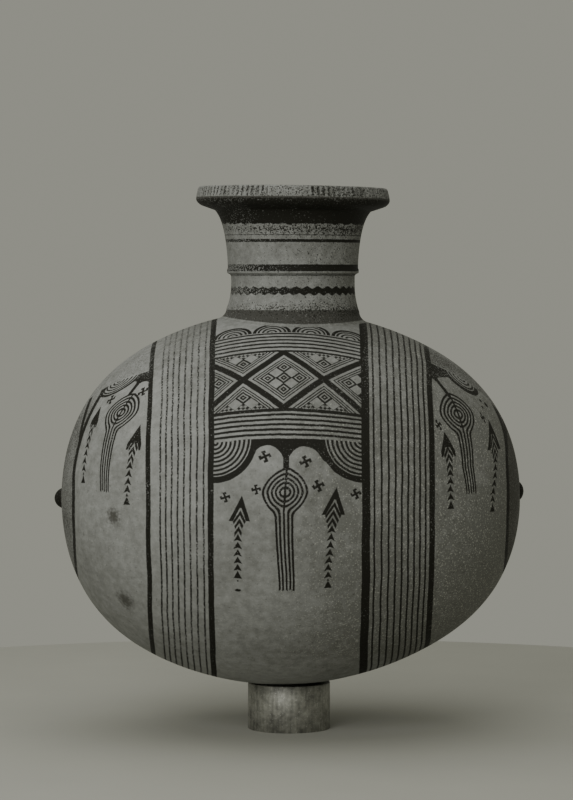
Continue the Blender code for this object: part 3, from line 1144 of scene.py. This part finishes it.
def new_material(name, roughness, metallic=0.0):
    """A material with its shader's inputs and the piece's own coordinates."""
    made = bpy.data.materials.new(name)
    made.use_nodes = True
    tree = made.node_tree
    shader = tree.nodes["Principled BSDF"].inputs
    shader["Roughness"].default_value = roughness
    shader["Metallic"].default_value = metallic
    place = Field(tree, tree.nodes.new("ShaderNodeTexCoord").outputs["Object"])
    return made, shader, place


def add_relief(shader, height, distance):
    """A bump of that height in metres."""
    values = {"Strength": 1.0, "Distance": distance, "Height": height}
    feed(add_node("Bump", values)[0], shader["Normal"])


def clay_relief(shader, place):
    """The crumbly skin of fired clay as a bump."""
    add_relief(shader, noise(place, 260.0, 3.0, 0.7), 0.0005)


def painted(name, draw):
    """A clay material whose paint is drawn by a function of the painter's measures.

    The function returns fields by name: line is the distance to the paint and wear how
    much more worn than usual it is; wash and thin are the same for thin paint, soil is
    extra soiling of the clay and smudge a share of soot, for a stain and a dent's painted shade.
    """
    made, shader, place = new_material(name, 0.62)
    shader["Specular IOR Level"].default_value = 0.12
    c = colours()
    # The place in mm from the barrel's middle
    values = {0: place, 1: (MM, MM, MM), 2: tuple(-MM * middle())}
    spot = add_node("VectorMath", values, operation="MULTIPLY_ADD")[0]
    m = SimpleNamespace(spot=spot, **dict(zip(MEASURES.lower().split(), measures(spot))))
    drawn = {"wear": 0.0, "wash": None, "thin": 0.0, "soil": 0.0, "smudge": None} | draw(m)
    x, _, z = parts_of(spot)
    # Painted shade and light in the clay's colour: darker towards the lower belly, much lighter at
    # the very bottom as painted light from the floor, and darker to the right, partly grime and
    # partly painted shade from light on the left, less so high up
    low = rising(-z, -30.0, 100.0) * 0.25 - rising(-z, 114.0, 146.0) * 1.15
    right = rising(x, -20.0, 30.0) * 0.78 + rising(x, 70.0, 130.0) * 0.32
    right = right * (1.0 - rising(z, 60.0, 130.0) * 0.65)
    # These and the soil shift the clay's tone: grime and painted shade and light together
    dirt = either(low + right + drawn["soil"], 1.7)
    base, speckle = mottled_clay(place, dirt, c.clay, c.clay_dark)
    # Soot on the left side: a stain, and the painted shade of a shallow dent
    if drawn["smudge"] is not None:
        base = mixed(drawn["smudge"], base, c.soot)
    if drawn["wash"] is not None:
        base = mixed(worn_paint(drawn["wash"], drawn["thin"], spot) * 0.92, base, c.wash)
    paint = worn_paint(drawn["line"], drawn["wear"], spot)
    feed(mixed(paint, base, c.paint), shader["Base Color"])
    feed(0.62 + 0.12 * speckle - 0.04 * paint, shader["Roughness"])
    clay_relief(shader, place)
    return made


def shoulder_wear(m):
    """How much more worn the paint is on the shoulders, most on the right."""
    return rising(m.up, 70.0, 170.0) * (rising(m.along, -60.0, 90.0) * 0.09 + 0.03)


def draw_bands(m):
    """Only the stripes round the barrel."""
    left = rising(-m.along, 62.0, 66.0) * rising(104.0 - abs(m.along), 0.0, 2.0)
    wear = shoulder_wear(m) + left * (0.10 + 0.05 * rising(m.up, 0.0, 90.0))
    return {"line": bands(m.along), "wear": wear, "soil": rising(m.up, 90.0, 190.0) * 0.7}


def draw_back(m):
    """The middle panel without its small crosses."""
    x = m.along
    return {"line": either(bands(x), front_panel(x, m.droop), front_motifs(x, m.up))}


def draw_front(m):
    """The middle panel with its small crosses."""
    return {"line": either(draw_back(m)["line"], front_crosses(m.along, m.up, colours().hook))}


# Dark smudges on the left side: place in mm from the barrel's middle, and radius. The first is a
# stain; the second is painted shade of a shallow dent that the mesh does not have
STAIN_AND_DENT_SHADE = (((-135.9, -106.6, -7.6), 5.0), ((-127.9, -86.4, -73.4), 6.5))


def stain_and_dent_shading(spot):
    """A share of soot that fades away from each smudge, broken up by grains: a stain, and the
    painted shade of a dent.
    """
    ragged = (noise(spot, 0.45) - 0.5) * 14.0
    near = either(*(
        (add_node("VectorMath", {0: spot, 1: place}, operation="DISTANCE")[1] + ragged) / radius
        for place, radius in STAIN_AND_DENT_SHADE
    ))
    return smooth_edge(near - 1.0, 0.8) * 0.85


def draw_side(name, plan):
    """The drawing of a side panel with the lines and wash of the barrel's end."""

    def draw(m):
        """Draw the panel, the end's lines and the painted knob."""
        s = sizes()
        out = m.along * plan["sign"]
        side, above = side_panel(name, plan)(out, m.back, m.arc, colours().hook)
        line, wash = end_lines(out, m.height, *plan["end"], above)
        knob_up = MM * (plan["sign"] * math.sin(s.tilt) * s.half_length + s.knob_rise)
        knob = hypot(m.back, m.height - knob_up) - MM * s.left_knob_radius
        drawn = {"line": either(bands(m.along), side, line, knob), "wash": wash,
                 "wear": 0.02 + rising(m.height, 84.0, 100.0) * 0.08,
                 "thin": plan["worn"] + 0.10 * rising(m.height, 50.0, 90.0)}
        # The left side has a stain and the painted shade of a shallow dent
        if plan is LEFT_SIDE:
            drawn["smudge"] = stain_and_dent_shading(m.spot)
        return drawn

    return draw


def draw_neck(m):
    """The neck's stripes and the rim's dashes, more worn towards the left."""
    s = sizes()
    x, y, z = parts_of(m.spot)
    aside = x - MM * neck_offset()
    turn = maths("ARCTAN2", aside, 0.0 - y)
    level = z - MM * s.radius
    climb = rising(level, 31.0, 97.0)
    level = level + aside * math.tan(s.rim_slope) * climb + m.shake * 0.5
    # Dark specks gather below the rim, above the wash at the foot and on the right
    specks = noise(m.spot, 0.85, 3.0, 0.62)
    near = 1.0 - either(abs(level - 64.0) / 8.0, 1.0)
    foot = 1.0 - either(abs(level - 2.0) / 7.0, 1.0)
    rim = rising(level, 85.0, 88.0)
    gather = near * 0.15 + foot * 0.11 + rim * 0.08 + rising(x, -50.0, 50.0) * 0.08
    gather = gather + rising(2.5 - level, 0.0, 4.0) * 0.07
    # The wash and its specks end at the neck's foot
    beyond_foot = hypot(aside, y) - 56.0
    spots = (0.672 - gather - specks) * 9.0
    spots = within(spots, beyond_foot - rising(level, 8.0, 14.0) * 30.0)
    wash = within(between(level, -30.0, 0.6), beyond_foot)
    left = held((12.0 - x) / 60.0)
    wear = left * (0.17 - 0.10 * rising(level, 62.0, 68.0)) + rim * 0.13
    return {"line": either(neck_paint(level, turn), spots + 0.5), "wear": wear,
            "wash": either(wash, spots, stripe(level, 87.4, 3.0)), "thin": left * 0.05,
            "soil": 0.35}


def draw_strap(m):
    """A stripe down each edge of the handle."""
    return {"line": stripe(abs(m.along - MM * neck_offset()), 10.0, 3.0), "wear": 0.05}


def bare_clay():
    """The jug's inside: the clay's mottle without paint, in the darker smoke-grey and wash colours.
    """
    made, shader, place = new_material("bare_clay", 0.75)
    c = colours()
    feed(mottled_clay(place, 0.3, c.clay_dark, c.wash)[0], shader["Base Color"])
    clay_relief(shader, place)
    return made


def weathered_metal():
    """Dull grey metal with slow stains, light specks and drawn-out scratches."""
    made, shader, place = new_material("weathered_metal", 0.45, 0.8)
    c = colours()
    stains = noise(place, 60.0, 5.0, 0.65)
    specks = noise(place, 700.0, 2.0, 0.6)
    x, y, z = parts_of(place)
    scratches = noise(vector_of(x * 500.0, y * 500.0, z * 40.0), 1.0, 3.0)
    blotches = noise(place, 220.0, 3.0, 0.65)
    tone = (stains - 0.45) * 1.6 + (scratches - 0.5) * 0.9 + (blotches - 0.5) * 1.4 + 0.3
    base = mixed(held(tone), [0.35 * part for part in c.metal], c.metal)
    light = smooth_edge((specks - 0.66) * -20.0, 0.8)
    feed(mixed(light * 0.5, base, (0.7, 0.7, 0.65)), shader["Base Color"])
    feed(0.36 + 0.25 * stains + 0.10 * specks, shader["Roughness"])
    add_relief(shader, scratches * 0.6 + stains * 0.4, 0.0002)
    return made


def zone_materials():
    """The materials of the jug, one for each painted zone, in the order of the zones."""
    return [
        painted("painted_bands", draw_bands),
        painted("painted_front", draw_front),
        painted("painted_back", draw_back),
        painted("painted_left_side", draw_side("Left side panel", LEFT_SIDE)),
        painted("painted_right_side", draw_side("Right side panel", RIGHT_SIDE)),
        painted("painted_neck", draw_neck),
        painted("painted_strap", draw_strap),
        bare_clay(),
    ]


BANDS, FRONT, BACK, LEFT, RIGHT, NECK, STRAP, INSIDE = range(8)
# Below this place up the skin, in mm, the front panel is bare
LOWEST_MOTIF = -80.0


def zones_of(points, neck, inside):
    """The zone of each face of the jug's skin from its centre and its row in the grid."""
    x, y, z = (MM * (points[:, axis] - middle()[axis]) for axis in range(3))
    zone = np.full(len(points), BANDS)
    up = SKIN * np.arctan2(z, np.abs(y))
    panel = (x > LEFT_BAND) & (x < RIGHT_BAND) & (up > LOWEST_MOTIF)
    zone[panel & (y < 0.0)] = FRONT
    zone[panel & (y >= 0.0)] = BACK
    zone[x < LEFT_OUTER] = LEFT
    zone[x > RIGHT_OUTER] = RIGHT
    zone[neck] = NECK
    zone[inside] = INSIDE
    return zone


def face_centres(mesh):
    """The middle of each face."""
    centres = np.empty(len(mesh.polygons) * 3, np.float32)
    mesh.polygons.foreach_get("center", centres)
    return centres.reshape(-1, 3)


def smooth_piece(made):
    """Shade a piece smooth except at its sharp edges."""
    made.data.shade_smooth()
    made.data.set_sharp_from_angle(angle=SHARP)


class OBJECT_OT_jug_body(bpy.types.Operator):
    """Make the jug with its neck, knobs and handle as one closed piece"""

    bl_idname = "object.jug_body"
    bl_label = "Jug"

    def execute(self, context):
        s = sizes()
        *skin, neck_from, inner_from = jug_skin()
        jug = laid_out("painted_jug", *skin)
        materials = zone_materials()
        for made in materials:
            jug.data.materials.append(made)
        index = np.arange(len(jug.data.polygons))
        count = len(skin[1][0])
        neck = (index >= neck_from) & (index < inner_from)
        inside = (index >= inner_from) & (index < count) | (index >= count + s.columns)
        zone = zones_of(face_centres(jug.data), neck, inside)
        jug.data.polygons.foreach_set("material_index", zone.astype(np.int32))
        outward_faces(jug)
        added = []
        for name, made, slot in (
            ("left_knob", knob_points(-1.0, s.left_knob_radius, s.left_knob_height), LEFT),
            ("right_knob", knob_points(1.0, s.right_knob_radius, s.right_knob_height), RIGHT),
            ("strap", handle_points(), STRAP),
        ):
            part = laid_out(name, *made)
            part.data.materials.append(materials[slot])
            outward_faces(part)
            added.append(part)
        join_with(jug, added)
        smooth_piece(jug)
        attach(jug, "root")
        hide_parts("jug")
        return {"FINISHED"}


class OBJECT_OT_jug_ring(bpy.types.Operator):
    """Make the metal ring with softened edges"""

    bl_idname = "object.jug_ring"
    bl_label = "Ring stand"

    def execute(self, context):
        line = ring_line(wall=0.0026, chamfer=0.0004)
        turns = circle(RING_COLUMNS)
        radius, height = line[:, :1], line[:, 1:]
        rows = stacked(radius * np.cos(turns), radius * np.sin(turns), height)
        place = np.arange(rows[..., 0].size).reshape(rows.shape[:2])
        after, above = np.roll(place, -1, axis=1), np.roll(place, -1, axis=0)
        quads = stacked(place, after, np.roll(after, -1, axis=0), above)
        made = mesh_object("metal_ring", rows.reshape(-1, 3), [quads.reshape(-1, 4)])
        outward_faces(made)
        made.data.materials.append(weathered_metal())
        smooth_piece(made)
        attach(made, "root")
        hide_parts("stand_ring")
        return {"FINISHED"}


def ring_line(wall, chamfer):
    """The tube's closed section as (radius, height), each corner cut back on both sides."""
    radius, _, top = RING_HIGH
    bore = radius - wall
    corners = np.array([(bore, 0.0), (radius, 0.0), (radius, top), (bore, top)])
    line = []
    for index, corner in enumerate(corners):
        for other in (corners[index - 1], corners[(index + 1) % len(corners)]):
            way = other - corner
            line.append(corner + chamfer * way / np.linalg.norm(way))
    return np.array(line)


SKY_TINT = (1.0, 1.0, 0.86, 1.0)
# Each lamp's place, the point it is aimed at and its size, in metres
LAMPS = {
    "key": ((-0.55, -1.45, 0.80), (0.0, 0.0, 0.26), 0.80),
    "fill": ((-0.26, -0.10, 1.70), (0.0, 0.0, 0.0), 1.9),
}


class OBJECT_OT_jug_stage(bpy.types.Operator):
    """Make the pale floor, the soft lights, the even sky and the camera"""

    bl_idname = "object.jug_stage"
    bl_label = "Stage"

    def execute(self, context):
        s = context.scene.jug_stage
        turns = circle(FLOOR_COLUMNS)
        rim = s.floor_radius * stacked(np.cos(turns), np.sin(turns), 0.0)
        floor = mesh_object("floor", rim, [np.arange(len(turns))[None, :]])
        made, shader, place = new_material("pale_floor", 0.8)
        pale = colours().floor
        cloudy = mixed(noise(place, 9.0, 4.0), [0.9 * part for part in pale], pale)
        feed(cloudy, shader["Base Color"])
        floor.data.materials.append(made)

        world = bpy.data.worlds.new("even_sky")
        world.use_nodes = True
        tree = world.node_tree
        even = tree.nodes["Background"]
        seen = tree.nodes.new("ShaderNodeBackground")
        mix = tree.nodes.new("ShaderNodeMixShader")
        path = tree.nodes.new("ShaderNodeLightPath")
        for node, strength in ((even, s.sky), (seen, s.backdrop)):
            node.inputs["Color"].default_value = SKY_TINT
            node.inputs["Strength"].default_value = strength
        sources = (path.outputs["Is Camera Ray"], even.outputs[0], seen.outputs[0])
        for source, socket in zip(sources, mix.inputs):
            tree.links.new(source, socket)
        tree.links.new(mix.outputs[0], tree.nodes["World Output"].inputs["Surface"])
        context.scene.world = world

        for name, (place, aim, size) in LAMPS.items():
            lamp(name, place, aim, size, getattr(s, name))

        camera = bpy.data.objects.new("camera", bpy.data.cameras.new("camera"))
        context.collection.objects.link(camera)
        camera.location = (s.aside, -s.distance, s.eye)
        camera.rotation_euler = (QUARTER - s.pitch, 0.0, 0.0)
        camera.data.lens = s.lens
        context.scene.camera = camera
        return {"FINISHED"}


def lamp(name, place, aim, size, power):
    """A square soft light at a place, aimed at a point."""
    data = bpy.data.lights.new(name, "AREA")
    data.size = size
    data.energy = power
    made = bpy.data.objects.new(name, data)
    made.location = place
    made.rotation_euler = (Vector(aim) - Vector(place)).to_track_quat("-Z", "Y").to_euler()
    bpy.context.collection.objects.link(made)


class VIEW3D_PT_jug(bpy.types.Panel):
    """Sizes, colours and making of the barrel jug"""

    bl_label = "Barrel jug"
    bl_idname = "VIEW3D_PT_jug"
    bl_space_type = "VIEW_3D"
    bl_region_type = "UI"
    bl_category = "Barrel jug"

    def draw(self, context):
        layout = self.layout
        for made in OPERATORS:
            layout.operator(made.bl_idname)
        for key, kind in SETTINGS.items():
            box = layout.box()
            for name in kind.__annotations__:
                box.prop(getattr(context.scene, key), name)


OPERATORS = (OBJECT_OT_jug_body, OBJECT_OT_jug_ring, OBJECT_OT_jug_stage)
SETTINGS = {"jug_sizes": JugSizes, "jug_colours": JugColours, "jug_stage": JugStage}
CLASSES = (*SETTINGS.values(), *OPERATORS, VIEW3D_PT_jug)


def register():
    """Add the classes and the scene's settings."""
    for made in CLASSES:
        bpy.utils.register_class(made)
    for key, kind in SETTINGS.items():
        setattr(bpy.types.Scene, key, PointerProperty(type=kind))


def unregister():
    """Remove the scene's settings and the classes."""
    for key in SETTINGS:
        delattr(bpy.types.Scene, key)
    for made in reversed(CLASSES):
        bpy.utils.unregister_class(made)


def main():
    """Make every piece and the stage."""
    register()
    bpy.ops.object.jug_body()
    bpy.ops.object.jug_ring()
    bpy.ops.object.jug_stage()


if __name__ == "__main__":
    main()
